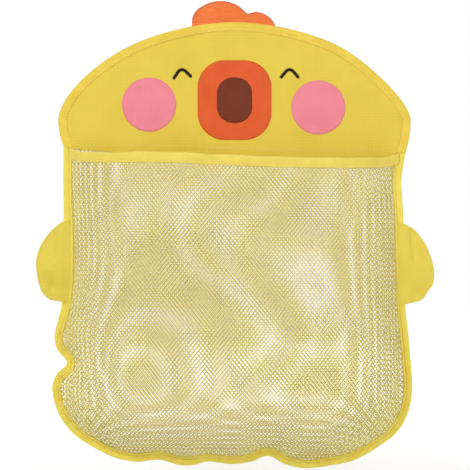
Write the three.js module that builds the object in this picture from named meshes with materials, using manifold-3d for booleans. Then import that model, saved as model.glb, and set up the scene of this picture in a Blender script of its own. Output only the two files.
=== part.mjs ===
// Bath toy organizer: a chick-shaped net pocket that hangs on a wall from two suction hooks.
// Millimetres. The wall is the plane y = 0, +Z is up, +X is to the right of someone facing the wall.
// The origin lies on the wall, midway between the two suction cups.

import * as THREE from "three";
import { TessellateModifier } from "three/addons/modifiers/TessellateModifier.js";
import { mergeVertices } from "three/addons/utils/BufferGeometryUtils.js";
import Module from "manifold-3d";

const wasm = await Module();
wasm.setup();

// Fits
const runningGap = 0.3; // between pieces that move on each other
const slotGap = 0.3; // round a layer held inside a folded tape
const layerGap = 0.2; // between flat layers
const seamGap = 0.4; // between the ends or edges of neighbouring pieces

// Cloth, tape and net
const fabric = 0.5; // one layer of the head's cover
const film = 0.3; // one printed layer of the face
const stiffener = 1.6; // sheet between the two covers of the head
const net = 1.2;
const tape = 0.8; // one layer of the binding
const bindingWidth = 8.5;
const bandWidth = 10;
const bandThickness = 2.4;
const webbing = 1.5;
const flapThickness = 2.4; // wings and comb
const flapPlate = 2.2; // cloth of a flap, a little thinner than its rounded root

// Suction cups and wire hooks
const cupSpacing = 176;
const cupRadius = 25;
const cupRim = 7; // width of the flat ring that seals on the wall
const cupDish = 1.5; // hollow under the middle of the cup
const cupLip = 0.8; // thickness at the outer edge
const cupHub = 7.6; // wall to the neck
const neckRadius = 4.2;
const capRadius = 6.2;
const capHeight = 3.6;
const wireRadius = 1.3;
const shankDrop = 22; // centre of the cup to the start of the hook's bend
const bendRadius = 6;
const tipRise = 1; // straight end after the bend
const hookToHead = 3.4; // air between the hook's tip and the back of the head

// Hanging loops
const loopWidth = 32;
const loopBar = 7; // webbing above the eye
const eyeWidth = 13;
const eyeLength = 20;
const eyeToSeam = 4; // lower end of the eye to the seam
const loopSewn = 16; // length sewn to the head

// Head outline
const headHalfWidth = 169.4;
const wideZ = -42; // height of the widest place
const domeHeight = 94; // widest place to the top
const domePower = 1.8; // 2 would be a plain ellipse
const leftSlope = 0.11; // power lost towards the sides, where the shoulders slope
const rightSlope = 0.245;
const slopeFrom = 0.55; // part of the way out where that starts
const mouthZ = -73; // right end of the head's lower edge
const mouthHalfWidth = 164.4;
const mouthLine = [[-1, 6.3], [-0.925, 2.7], [-0.84, 1], [-0.43, 0.8], [0, -2], [0.365, -4.1], [0.8, -4.3],
  [0.9, -3], [0.96, -0.7], [1, 0]]; // lower edge of the head: part of the half width, and height over mouthZ
const stiffenerInset = 11; // outline to the stiffener's edge
const hemTuck = 8; // net held between the two covers of the head

// Pocket outline, as it hangs, from the left end of the mouth round to the right end.
// The first number is the distance outward from the mouth's end, or from the middle for the bottom.
// The second is a part of the height: down from the mouth for the upper sides, up from the bottom elsewhere.
const pocketHeight = 304;
const leftUpper = [[0, 0.105], [-0.2, 0.211], [0.6, 0.345], [1.6, 0.48]];
const leftLower = [[5.2, 0.47], [8.6, 0.421], [6.6, 0.378], [-2.9, 0.334], [6.6, 0.299], [10.8, 0.26],
  [8.6, 0.207], [1.6, 0.155], [-11.4, 0.105], [-29.4, 0.066]];
const bottomWave = [[-115, 0.0345], [-94, 0.021], [-72, 0.027], [-52, 0.0105], [-38, 0.0115], [-26, 0.0205],
  [-6, 0.0125], [14, 0.018], [32, 0.0395], [50, 0.0105], [70.5, 0], [92, 0.0095], [112, 0.0225]];
const rightLower = [[-28.6, 0.0625], [-11.9, 0.102], [-0.1, 0.155], [5.4, 0.214], [6.6, 0.26], [4.1, 0.378],
  [1.9, 0.451], [0.1, 0.5]];
const rightUpper = [[-1, 0.345], [-2, 0.211], [-4, 0.089], [-2.6, 0.049]];

// Bulge of the front net
const bulgeDepth = 85;
const bulgeReach = 115; // distance from the seam at which the net is fully out
const bulgeFall = 200; // height over which the bulge grows below the mouth
const mouthShare = 0.5; // part of the bulge left at the mouth
const bandSag = 2.2; // the middle of the mouth band hangs this much under the head

// Gaps in the nets
const gapPitch = 40; // from one gap to the next, across its corners, on the flat cloth
const strand = 3.6;
const selvedge = 2.5; // unbroken margin round the net
const smallestGap = 3; // room that a gap's centre needs to the margin
const longestFacet = 24; // of the front net, so that it follows its bulge
const frontClothHalf = 205; // half width of the front net before it is bulged
const frontClothHeight = 340;
const frontCrowding = 1.3; // radians of a sine: more packs the gaps closer towards the seams
const backCrowding = 0.1; // nearly even, because this net is flat

// Wings and comb
const leftWingTop = 0.218 * pocketHeight; // below the mouth
const rightWingTop = 0.226 * pocketHeight;
const wingLength = 0.256 * pocketHeight;
const leftWing = [[9.4, 0.11], [17, 0.235], [21.8, 0.36], [24, 0.506], [22.8, 0.67], [20.6, 0.79],
  [17.3, 0.89], [10.3, 0.97], [0, 0.99]]; // out from the seam, and part of the length down
const rightWing = [[8.8, 0.077], [16.2, 0.2], [21.2, 0.32], [25, 0.47], [26.7, 0.59], [25.1, 0.756],
  [20.4, 0.84], [14.6, 0.942], [0, 0.99]];
const combLeft = -41;
const combRight = 39;
const bigLobe = [[-40.1, 5.2], [-36.8, 10.9], [-31.7, 14.8], [-23.4, 18.6], [-13.4, 20.2], [-3.9, 18.8],
  [3.8, 15.5], [9.2, 10.9], [12.4, 7.9]];
// Across, and up from the top of the dome
const smallLobe = [[15.4, 8.6], [20.6, 9.7], [26.9, 8.4], [30.7, 6.6], [34.6, 3.6], [36.6, 1.3]];
const combGap = 1; // under the comb's edge, so that it can swing

// Face
const beakZ = -23.2;
const beakWidth = 70.8;
const beakHeight = 76.5;
const beakCorner = 26;
const mouthWidth = 33.8;
const mouthHeight = 43.5;
const mouthCorner = 15.5;
const cheekRadius = 26;
const leftCheek = [-81.9, -27.5]; // across and up to its middle
const rightCheek = [80.4, -30.3];
const leftEye = [-50.8, 6]; // across to its top, and degrees that its left arm hangs lower
const rightEye = [52.9, 0];
const eyeTop = 6.1; // of the middle of the stroke
const eyeArm = [[2.6, 1], [5.2, 3.8], [8, 7.2]]; // out and down from the top, to the end of one arm
const eyeStroke = 3.1;

// Places that follow from the sizes above
const neckLength = 2 * wireRadius + 2 * runningGap;
const neckY = -cupHub - neckLength / 2;
const bendY = neckY - bendRadius;
const tipY = neckY - 2 * bendRadius;
const headBackY = tipY - wireRadius - hookToHead;
const core = Math.max(stiffener, net);
const midY = headBackY - fabric - layerGap - core / 2;
const headFrontY = midY - core / 2 - layerGap - fabric;
const headSlot = core / 2 + layerGap + fabric + slotGap; // half of the room inside the head's binding
const pocketSlot = net / 2 + slotGap;
const frontBaseY = midY - net / 2 - seamGap - bandThickness / 2;
const flapHalf = flapThickness / 2;
const hemHalf = mouthHalfWidth - bindingWidth; // middle to the head binding's inner edge, at the mouth
const domeTop = wideZ + domeHeight;
const bottomZ = mouthZ - pocketHeight;
const saddleZ = -shankDrop - bendRadius + wireRadius;
const barZ = saddleZ + runningGap;

const colours = {
  cover: [0xe6ce50, 0.7, 0],
  inner: [0xf2f0e6, 0.8, 0],
  tape: [0xf0d25a, 0.7, 0],
  net: [0xecd873, 0.75, 0],
  band: [0xf4dc6e, 0.65, 0],
  orange: [0xf37f42, 0.7, 0],
  beak: [0xe26135, 0.6, 0],
  mouth: [0x793c2a, 0.6, 0],
  cheek: [0xee8a98, 0.6, 0],
  eye: [0x26190d, 0.6, 0],
  webbing: [0xeecf4e, 0.8, 0],
  cup: [0xdfe8ea, 0.15, 0],
  wire: [0xc4c8cc, 0.25, 1],
};

const root = new THREE.Group();
root.name = "bath_toy_organizer";

function addPiece(name, geometry, [color, roughness, metalness]) {
  const mesh = new THREE.Mesh(geometry, new THREE.MeshStandardMaterial({ color, roughness, metalness }));
  mesh.name = name;
  root.add(mesh);
  return mesh;
}

// Turns the faces round where they would look inward
function facingOut(geometry) {
  const p = geometry.attributes.position;
  const order = geometry.index.array;
  const corner = (i) => new THREE.Vector3().fromBufferAttribute(p, order[i]);
  let volume = 0;
  for (let i = 0; i < order.length; i += 3) {
    volume += corner(i).dot(corner(i + 1).cross(corner(i + 2)));
  }
  if (volume < 0) {
    for (let i = 0; i < order.length; i += 3) {
      [order[i], order[i + 1]] = [order[i + 1], order[i]];
    }
  }
  return geometry;
}

function plainMesh(geometry) {
  const bare = geometry.clone();
  bare.deleteAttribute("normal");
  bare.deleteAttribute("uv");
  return mergeVertices(bare, 1e-4);
}

function solid(geometry) {
  const bare = facingOut(plainMesh(geometry));
  return new wasm.Manifold(new wasm.Mesh({
    numProp: 3,
    vertProperties: new Float32Array(bare.attributes.position.array),
    triVerts: new Uint32Array(bare.index.array),
  }));
}

function fromSolid(body) {
  const mesh = body.getMesh();
  const geometry = new THREE.BufferGeometry();
  geometry.setAttribute("position", new THREE.BufferAttribute(mesh.vertProperties, 3));
  geometry.setIndex(new THREE.BufferAttribute(mesh.triVerts, 1));
  return geometry;
}

// A flat outline in x and z, thickened from its rear face towards the viewer
function slab(shape, rearY, thickness, curveSegments = 12) {
  const geometry = new THREE.ExtrudeGeometry(shape, { depth: thickness, bevelEnabled: false, curveSegments });
  geometry.rotateX(Math.PI / 2);
  geometry.translate(0, rearY, 0);
  return geometry;
}

// A skin over rings of points that all follow one section, closed at both ends
function loft(rings, section) {
  const count = section.length;
  const last = (rings.length - 1) * count;
  const index = [];
  for (let i = 0; i + 1 < rings.length; i++) {
    for (let k = 0; k < count; k++) {
      const a = i * count + k;
      const b = i * count + ((k + 1) % count);
      index.push(a, b, b + count, a, b + count, a + count);
    }
  }
  for (const [a, b, c] of THREE.ShapeUtils.triangulateShape(section, [])) {
    index.push(c, b, a, last + a, last + b, last + c);
  }
  const geometry = new THREE.BufferGeometry().setFromPoints(rings.flat());
  geometry.setIndex(index);
  return facingOut(geometry);
}

const mouthRise = new THREE.CubicInterpolant(
  mouthLine.map(([across]) => across * mouthHalfWidth),
  mouthLine.map(([, rise]) => rise),
  1,
);

// Height of the head's lower edge
function hemZ(x) {
  return mouthZ + mouthRise.evaluate(x)[0];
}

// Directions towards the inside of an outline that runs anticlockwise, along the mouth at its two ends
function inward(edge) {
  return edge.map((point, i) => {
    if (i === 0 || i === edge.length - 1) {
      const end = Math.sign(point.x);
      const across = -end * bindingWidth;
      return new THREE.Vector2(across, hemZ(end * hemHalf) - hemZ(end * mouthHalfWidth)).normalize();
    }
    const along = edge[i + 1].clone().sub(edge[i - 1]).normalize();
    return new THREE.Vector2(-along.y, along.x);
  });
}

function inset(edge, distance) {
  const directions = inward(edge);
  return edge.map((point, i) => point.clone().addScaledVector(directions[i], distance));
}

// Folded tape along an outline, open towards the inside
function foldedTape(edge, slotHalf) {
  const half = slotHalf + tape;
  const section = [
    [0, -half], [bindingWidth, -half], [bindingWidth, -slotHalf], [tape, -slotHalf],
    [tape, slotHalf], [bindingWidth, slotHalf], [bindingWidth, half], [0, half],
  ].map(([u, v]) => new THREE.Vector2(u, v));
  const directions = inward(edge);
  const rings = edge.map((point, i) => section.map(({ x: u, y: v }) => new THREE.Vector3(
    point.x + directions[i].x * u,
    midY + v,
    point.y + directions[i].y * u,
  )));
  return loft(rings, section);
}

function distanceToEdge(edge, x, z) {
  let nearest = Infinity;
  for (let i = 0; i + 1 < edge.length; i++) {
    const a = edge[i];
    const b = edge[i + 1];
    const dx = b.x - a.x;
    const dz = b.y - a.y;
    const share = THREE.MathUtils.clamp(((x - a.x) * dx + (z - a.y) * dz) / (dx * dx + dz * dz), 0, 1);
    nearest = Math.min(nearest, Math.hypot(x - a.x - share * dx, z - a.y - share * dz));
  }
  return nearest;
}

// Distance to a closed outline, negative outside it
function roomInside(outline, x, z) {
  let within = false;
  outline.forEach((a, i) => {
    const b = outline[(i + 1) % outline.length];
    if ((a.y > z) !== (b.y > z) && x < a.x + ((z - a.y) / (b.y - a.y)) * (b.x - a.x)) {
      within = !within;
    }
  });
  const distance = distanceToEdge([...outline, outline[0]], x, z);
  return within ? distance : -distance;
}

// Where an outline first reaches a height, coming down from one end of the mouth
function sideAt(edge, side, z) {
  const fromMouth = side < 0 ? edge : [...edge].reverse();
  const i = fromMouth.findIndex((point) => point.y <= z);
  if (i === 0) {
    return fromMouth[0].x;
  }
  const a = fromMouth[i - 1];
  const b = fromMouth[i];
  return a.x + ((z - a.y) / (b.y - a.y)) * (b.x - a.x);
}

// The part of an outline below a height
function below(edge, z) {
  return [
    new THREE.Vector2(sideAt(edge, -1, z), z),
    ...edge.filter((point) => point.y < z - seamGap),
    new THREE.Vector2(sideAt(edge, 1, z), z),
  ];
}

function domeZ(x) {
  return wideZ + domeHeight * (1 - (Math.abs(x) / headHalfWidth) ** domePower) ** (1 / domePower);
}

function headOutline() {
  const steps = 4;
  const taper = (side) => Array.from({ length: steps }, (_, i) => {
    const share = 1 - i / steps;
    const x = headHalfWidth - (headHalfWidth - mouthHalfWidth) * share * share;
    return new THREE.Vector2(side * x, wideZ - (wideZ - hemZ(side * mouthHalfWidth)) * share);
  });
  const dome = [];
  const domeSteps = 40;
  for (let i = 0; i <= domeSteps; i++) {
    const angle = (Math.PI * i) / domeSteps;
    const out = Math.abs(Math.cos(angle));
    const side = Math.sign(Math.cos(angle));
    const slope = (side < 0 ? leftSlope : rightSlope) * THREE.MathUtils.smoothstep(out, slopeFrom, 1);
    const power = 2 / (domePower - slope);
    const up = Math.max(Math.sin(angle), 0) ** power;
    dome.push(new THREE.Vector2(side * headHalfWidth * out ** power, wideZ + domeHeight * up));
  }
  return [...taper(1), ...dome, ...taper(-1).reverse()];
}

function pocketOutline() {
  const place = (x, z) => new THREE.Vector3(x, 0, z);
  const sideX = (side, out) => side * (mouthHalfWidth + out);
  const fromMouth = (part) => mouthZ - part * pocketHeight;
  const fromBottom = (part) => bottomZ + part * pocketHeight;
  const upper = (side) => ([out, part]) => place(sideX(side, out), fromMouth(part));
  const lower = (side) => ([out, part]) => place(sideX(side, out), fromBottom(part));
  const points = [
    place(-mouthHalfWidth, hemZ(-mouthHalfWidth) - seamGap),
    ...leftUpper.map(upper(-1)),
    ...leftLower.map(lower(-1)),
    ...bottomWave.map(([x, part]) => place(x, fromBottom(part))),
    ...rightLower.map(lower(1)),
    ...rightUpper.map(upper(1)),
    place(mouthHalfWidth, hemZ(mouthHalfWidth) - seamGap),
  ];
  const curve = new THREE.CatmullRomCurve3(points, false, "centripetal");
  return curve.getPoints(2 * (points.length - 1)).map((p) => new THREE.Vector2(p.x, p.z));
}

const headEdge = headOutline();
const pocketEdge = pocketOutline();
const frontEdge = inset(pocketEdge, bindingWidth + seamGap);

function bandTopZ(x) {
  return hemZ(x) - seamGap - bandSag * (1 - (x / mouthHalfWidth) ** 4);
}

// How far the front net stands out from its seam
function bulge(x, z) {
  const rise = 1 - (1 - Math.min(distanceToEdge(frontEdge, x, z) / bulgeReach, 1)) ** 3;
  const fall = THREE.MathUtils.clamp((bandTopZ(x) - bandWidth - z) / bulgeFall, 0, 1);
  const share = mouthShare + (1 - mouthShare) * fall * fall * (3 - 2 * fall);
  return bulgeDepth * share * rise;
}

// A flat sheet with rows of diamond gaps
function netSheet(outline, rearY, clothHalf, clothHeight, crowding) {
  const shape = new THREE.Shape(outline);
  const eased = (share) => Math.sin(crowding * THREE.MathUtils.clamp(share, -1, 1)) / Math.sin(crowding);
  const place = (column, row) => new THREE.Vector2(
    mouthHalfWidth * eased((column * gapPitch) / 2 / clothHalf),
    mouthZ - pocketHeight * eased((row * gapPitch) / 2 / clothHeight),
  );
  const open = 1 - (strand * Math.SQRT2) / gapPitch;
  const columns = Math.ceil((2 * clothHalf) / gapPitch);
  const rows = Math.ceil((2 * clothHeight) / gapPitch);
  for (let row = 0; row <= rows; row++) {
    for (let column = -columns; column <= columns; column++) {
      const centre = place(column, row);
      if ((row + column) % 2 === 0 && roomInside(outline, centre.x, centre.y) > selvedge + smallestGap) {
        const corners = [[1, 0], [0, 1], [-1, 0], [0, -1]].map(([dx, dz]) => {
          const corner = centre.clone().lerp(place(column + dx, row + dz), open);
          while (roomInside(outline, corner.x, corner.y) < selvedge) {
            corner.lerp(centre, 0.02);
          }
          return corner;
        });
        shape.holes.push(new THREE.Path(corners));
      }
    }
  }
  return slab(shape, rearY, net);
}

// A flat sheet pulled forward by a given amount at each place
function pulledOut(sheet, amount) {
  const facets = new TessellateModifier(longestFacet, 12);
  const geometry = plainMesh(facets.modify(sheet));
  const p = geometry.attributes.position;
  for (let i = 0; i < p.count; i++) {
    p.setY(i, p.getY(i) - amount(p.getX(i), p.getZ(i)));
  }
  return geometry;
}

function roundedRectangle(width, height, corner, z) {
  const shape = new THREE.Shape();
  const x = width / 2 - corner;
  const y = height / 2 - corner;
  shape.absarc(x, z + y, corner, 0, Math.PI / 2, false);
  shape.absarc(-x, z + y, corner, Math.PI / 2, Math.PI, false);
  shape.absarc(-x, z - y, corner, Math.PI, 1.5 * Math.PI, false);
  shape.absarc(x, z - y, corner, 1.5 * Math.PI, 2 * Math.PI, false);
  return shape;
}

// A band along a curve, with round ends
function brushStroke(points, width) {
  const curve = new THREE.SplineCurve(points);
  const steps = 18;
  const capSteps = 6;
  const side = (sign) => Array.from({ length: steps + 1 }, (_, i) => {
    const { x, y } = curve.getTangent(i / steps);
    return curve.getPoint(i / steps).addScaledVector(new THREE.Vector2(-y, x), (sign * width) / 2);
  });
  const cap = (at, sign) => Array.from({ length: capSteps - 1 }, (_, i) => {
    const turn = Math.PI / 2 - (Math.PI * (i + 1)) / capSteps;
    const way = curve.getTangent(at).multiplyScalar((sign * width) / 2);
    return curve.getPoint(at).add(way.rotateAround(new THREE.Vector2(), turn));
  });
  return new THREE.Shape([...side(1), ...cap(1, 1), ...side(-1).reverse(), ...cap(0, -1)]);
}

// A round bar between two places at the depth of the seams
function seamBar(from, to, radius) {
  const a = new THREE.Vector3(from.x, midY, from.y);
  const b = new THREE.Vector3(to.x, midY, to.y);
  const along = b.clone().sub(a);
  const geometry = new THREE.CylinderGeometry(radius, radius, along.length(), 12);
  geometry.applyQuaternion(new THREE.Quaternion().setFromUnitVectors(
    new THREE.Vector3(0, 1, 0),
    along.normalize(),
  ));
  return geometry.translate((a.x + b.x) / 2, midY, (a.z + b.z) / 2);
}

// Head: two covers with a stiffener between them, and the folded tape round the dome

const hemSteps = 32;
const hem = Array.from({ length: hemSteps + 1 }, (_, i) => {
  const x = THREE.MathUtils.lerp(-hemHalf, hemHalf, i / hemSteps);
  return new THREE.Vector2(x, hemZ(x));
});
const coverShape = new THREE.Shape([...inset(headEdge, tape + slotGap), ...hem]);
const stiffenerEdge = inset(headEdge, stiffenerInset).filter((p) => p.y > mouthZ + stiffenerInset);
const stiffenerShape = new THREE.Shape(stiffenerEdge);
addPiece("head_back_panel", slab(coverShape, headBackY, fabric), colours.cover);
addPiece("head_stiffener", slab(stiffenerShape, midY + stiffener / 2, stiffener), colours.inner);
addPiece("head_front_panel", slab(coverShape, headFrontY + fabric, fabric), colours.cover);
addPiece("head_binding", foldedTape(headEdge, headSlot), colours.tape);

// Face: films on the front cover, with the mouth on top of the beak

const filmY = headFrontY;
const beakShape = roundedRectangle(beakWidth, beakHeight, beakCorner, beakZ);
const mouthShape = roundedRectangle(mouthWidth, mouthHeight, mouthCorner, beakZ);
addPiece("beak_print", slab(beakShape, filmY, film, 5), colours.beak);
addPiece("mouth_print", slab(mouthShape, filmY - film, film, 5), colours.mouth);
const otherArm = eyeArm.map(([out, down]) => [-out, down]).reverse();
const halves = [["left", leftCheek, leftEye], ["right", rightCheek, rightEye]];
for (const [name, [cheekX, cheekZ], [eyeX, tilt]] of halves) {
  const cheek = new THREE.Shape();
  cheek.absarc(cheekX, cheekZ, cheekRadius, 0, 2 * Math.PI, false);
  addPiece(`${name}_cheek_print`, slab(cheek, filmY, film, 24), colours.cheek);
  const top = new THREE.Vector2(eyeX, eyeTop);
  const eyePlace = ([out, down]) => new THREE.Vector2(eyeX + out, eyeTop - down)
    .rotateAround(top, THREE.MathUtils.degToRad(tilt));
  const eye = brushStroke([...otherArm, [0, 0], ...eyeArm].map(eyePlace), eyeStroke);
  addPiece(`${name}_eye_print`, slab(eye, filmY, film), colours.eye);
}

// Pocket: a flat net behind, a bulged net in front, the mouth band and the folded tape

const backTop = mouthHalfWidth - tape - slotGap;
const backOutline = [
  new THREE.Vector2(-backTop, mouthZ + hemTuck),
  ...inset(pocketEdge, tape + slotGap),
  new THREE.Vector2(backTop, mouthZ + hemTuck),
];
const backNet = netSheet(backOutline, midY + net / 2, mouthHalfWidth, pocketHeight, backCrowding);
addPiece("pocket_back_net", plainMesh(backNet), colours.net);
addPiece("pocket_binding", foldedTape(pocketEdge, pocketSlot), colours.tape);

const bandSteps = 32;
const bandEnds = [-1, 1].map((side) => {
  const topZ = hemZ(side * hemHalf) - seamGap;
  const endZ = topZ - bandSag - bandWidth;
  return side * Math.min(Math.abs(sideAt(frontEdge, side, topZ)), Math.abs(sideAt(frontEdge, side, endZ)));
});
const bandEndZ = Math.min(...bandEnds.map(bandTopZ)) - bandWidth;
const bandSection = [
  [-bandWidth, -bandThickness / 2], [0, -bandThickness / 2],
  [0, bandThickness / 2], [-bandWidth, bandThickness / 2],
].map(([u, v]) => new THREE.Vector2(u, v));
const bandX = Array.from({ length: bandSteps + 1 }, (_, i) => {
  const share = (1 - Math.cos((Math.PI * i) / bandSteps)) / 2;
  return THREE.MathUtils.lerp(bandEnds[0], bandEnds[1], share);
});
const bandRings = bandX.map((x) => bandSection.map(({ x: u, y: v }) => new THREE.Vector3(
  x,
  frontBaseY + v - bulge(x, bandTopZ(x) - bandWidth),
  bandTopZ(x) + u,
)));
addPiece("mouth_band", loft(bandRings, bandSection), colours.band);

const netTop = bandX.map((x) => new THREE.Vector2(x, bandTopZ(x) - bandWidth - seamGap)).reverse();
const frontOutline = [...below(frontEdge, bandEndZ - seamGap).slice(1, -1), ...netTop];
const frontRearY = frontBaseY + net / 2;
const frontNet = netSheet(frontOutline, frontRearY, frontClothHalf, frontClothHeight, frontCrowding);
addPiece("pocket_front_net", pulledOut(frontNet, bulge), colours.net);

// Wings: sewn into the side seams, each with a rounded root that it turns on

const wings = [["left", -1, leftWingTop, leftWing], ["right", 1, rightWingTop, rightWing]];
for (const [name, side, wingTop, profile] of wings) {
  const topZ = mouthZ - wingTop;
  const seamTop = new THREE.Vector2(sideAt(pocketEdge, side, topZ), topZ);
  const seamEnd = new THREE.Vector2(sideAt(pocketEdge, side, topZ - wingLength), topZ - wingLength);
  const along = seamEnd.clone().sub(seamTop);
  const out = new THREE.Vector2(-side * along.y, side * along.x).normalize();
  const hingeTop = seamTop.clone().addScaledVector(out, runningGap + flapHalf);
  const hingeEnd = seamEnd.clone().addScaledVector(out, runningGap + flapHalf);
  const edge = profile.map(([reach, share]) => hingeTop.clone()
    .addScaledVector(out, reach)
    .addScaledVector(along, share));
  const wing = new THREE.Shape();
  const wingStart = hingeTop.clone().lerp(hingeEnd, 0.01); // inside the end of the root
  wing.moveTo(wingStart.x, wingStart.y);
  wing.splineThru(edge);
  const plate = solid(slab(wing, midY + flapPlate / 2, flapPlate, 3));
  const rootBar = solid(seamBar(hingeTop, hingeEnd, flapHalf));
  addPiece(`${name}_wing`, fromSolid(plate.add(rootBar)), colours.cover);
}

// Comb: two lobes over the top of the dome

const combShape = new THREE.Shape();
const lobe = (points) => points.map(([x, up]) => new THREE.Vector2(x, domeTop + up));
combShape.moveTo(combLeft, domeZ(combLeft) + combGap);
combShape.splineThru(lobe(bigLobe));
combShape.splineThru([...lobe(smallLobe), new THREE.Vector2(combRight, domeZ(combRight) + combGap)]);
const combSteps = 10;
for (let i = 1; i < combSteps; i++) {
  const x = THREE.MathUtils.lerp(combRight, combLeft, i / combSteps);
  combShape.lineTo(x, domeZ(x) + combGap);
}
const combHinge = domeTop + runningGap + flapHalf;
const combBar = seamBar(
  new THREE.Vector2(combLeft + flapThickness, combHinge),
  new THREE.Vector2(combRight - flapThickness, combHinge),
  flapHalf,
);
const combPlate = solid(slab(combShape, midY + flapPlate / 2, flapPlate, 3));
addPiece("comb", fromSolid(combPlate.add(solid(combBar))), colours.orange);

// Hanging: suction cups, wire hooks and webbing loops

const cupProfile = [
  [0, -cupDish], [cupRadius - cupRim, 0], [cupRadius, 0], [cupRadius, -cupLip],
  [0.6 * cupRadius, -0.5 * cupHub], [neckRadius + cupLip, -cupHub], [neckRadius, -cupHub],
  [neckRadius, -cupHub - neckLength], [capRadius, -cupHub - neckLength],
  [capRadius, -cupHub - neckLength - 0.6 * capHeight], [0, -cupHub - neckLength - capHeight],
].map(([r, y]) => new THREE.Vector2(r, y));
const cup = facingOut(plainMesh(new THREE.LatheGeometry(cupProfile, 32)));

const ringRadius = neckRadius + runningGap + wireRadius;
const wirePath = [];
for (let angle = -40; angle <= 220; angle += 26) {
  const turn = THREE.MathUtils.degToRad(angle);
  wirePath.push(new THREE.Vector3(ringRadius * Math.cos(turn), neckY, ringRadius * Math.sin(turn)));
}
const shankTop = -(ringRadius + shankDrop) / 2;
wirePath.push(new THREE.Vector3(0, neckY, shankTop));
wirePath.push(new THREE.Vector3(0, neckY, 0.7 * shankTop - 0.3 * shankDrop));
for (let angle = 0; angle <= 180; angle += 30) {
  const turn = THREE.MathUtils.degToRad(angle);
  wirePath.push(new THREE.Vector3(
    0,
    bendY + bendRadius * Math.cos(turn),
    -shankDrop - bendRadius * Math.sin(turn),
  ));
}
wirePath.push(new THREE.Vector3(0, tipY, -shankDrop + tipRise));
const wireRound = new THREE.Shape();
wireRound.absarc(0, 0, wireRadius, 0, 2 * Math.PI, false);
const hook = new THREE.ExtrudeGeometry(wireRound, {
  steps: 42,
  curveSegments: 4,
  extrudePath: new THREE.CatmullRomCurve3(wirePath, false, "centripetal"),
});

const sewnY = headBackY + layerGap + webbing / 2;
const seamTopZ = barZ - eyeLength - eyeToSeam;
const lean = (sewnY - bendY) / (seamTopZ - barZ);
const loopEdge = [
  [bendY + lean * loopBar, barZ + loopBar], [sewnY, seamTopZ], [sewnY, seamTopZ - loopSewn],
];
const loopFront = loopEdge.map(([y, z]) => new THREE.Vector2(y - webbing / 2, z));
const loopRear = loopEdge.map(([y, z]) => new THREE.Vector2(y + webbing / 2, z)).reverse();
const loopShape = new THREE.Shape([...loopFront, ...loopRear]);
const strip = new THREE.ExtrudeGeometry(loopShape, { depth: loopWidth, bevelEnabled: false });
strip.translate(0, 0, -loopWidth / 2);
strip.applyMatrix4(new THREE.Matrix4().set(0, 0, 1, 0, 1, 0, 0, 0, 0, 1, 0, 0, 0, 0, 0, 1));
const eye = new THREE.BoxGeometry(eyeWidth, 4 * bendRadius, eyeLength);
eye.translate(0, (bendY + sewnY) / 2, barZ - eyeLength / 2);
const loop = fromSolid(solid(strip).subtract(solid(eye)));

for (const [name, side] of [["left", -1], ["right", 1]]) {
  const x = (side * cupSpacing) / 2;
  addPiece(`${name}_suction_cup`, cup, colours.cup).position.x = x;
  addPiece(`${name}_wire_hook`, hook, colours.wire).position.x = x;
  addPiece(`${name}_hanging_loop`, loop, colours.webbing).position.x = x;
}

export default root;
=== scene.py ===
"""Bath toy organizer: cloth, nets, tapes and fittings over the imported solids.

Shapes are worked out in millimetres, in the frame of the solids, and become metres as each mesh is made.
"""
import math

import bmesh
import bpy
import numpy as np
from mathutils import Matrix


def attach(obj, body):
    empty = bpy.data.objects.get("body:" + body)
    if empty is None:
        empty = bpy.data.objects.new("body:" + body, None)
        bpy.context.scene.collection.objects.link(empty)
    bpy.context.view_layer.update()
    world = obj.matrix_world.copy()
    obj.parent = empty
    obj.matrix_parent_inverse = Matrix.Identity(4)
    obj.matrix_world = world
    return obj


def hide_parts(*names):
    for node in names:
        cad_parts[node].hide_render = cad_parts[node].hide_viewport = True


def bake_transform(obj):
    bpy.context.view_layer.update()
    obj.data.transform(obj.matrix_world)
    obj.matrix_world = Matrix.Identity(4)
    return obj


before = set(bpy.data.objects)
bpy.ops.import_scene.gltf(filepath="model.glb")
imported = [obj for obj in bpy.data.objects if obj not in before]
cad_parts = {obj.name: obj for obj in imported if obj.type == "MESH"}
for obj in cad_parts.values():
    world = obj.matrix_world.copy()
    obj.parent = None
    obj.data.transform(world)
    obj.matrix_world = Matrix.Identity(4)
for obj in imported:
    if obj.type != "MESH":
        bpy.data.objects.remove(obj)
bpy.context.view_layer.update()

MM = 0.001
SIDES = (("left", -1), ("right", 1))
CHUNK = 3000  # places worked on at a time

# Sizes of the solids
MID_Y = -27.4  # depth of the seams
COVER_HALF = 1.5  # from there to the outside of each of the head's covers
HEAD_HALF = 169.4
WIDE_Z = -42.0
DOME_HEIGHT = 94.0
DOME_TOP = WIDE_Z + DOME_HEIGHT
DOME_POWER = 1.8
SLOPE = {-1: 0.11, 1: 0.245}  # power lost towards the sides, where the shoulders slope
SLOPE_FROM = 0.55
MOUTH_Z = -73.0
MOUTH_HALF = 164.4
MOUTH_LINE = np.array([  # lower edge of the head: part of the half width, and height over MOUTH_Z
    [-1, 6.3], [-0.925, 2.7], [-0.84, 1], [-0.43, 0.8], [0, -2], [0.365, -4.1], [0.8, -4.3], [0.9, -3],
    [0.96, -0.7], [1, 0],
])
SEAM_GAP = 0.4
COVER_INSET = 1.1
POCKET_HEIGHT = 304.0
BOTTOM_Z = MOUTH_Z - POCKET_HEIGHT
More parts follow.
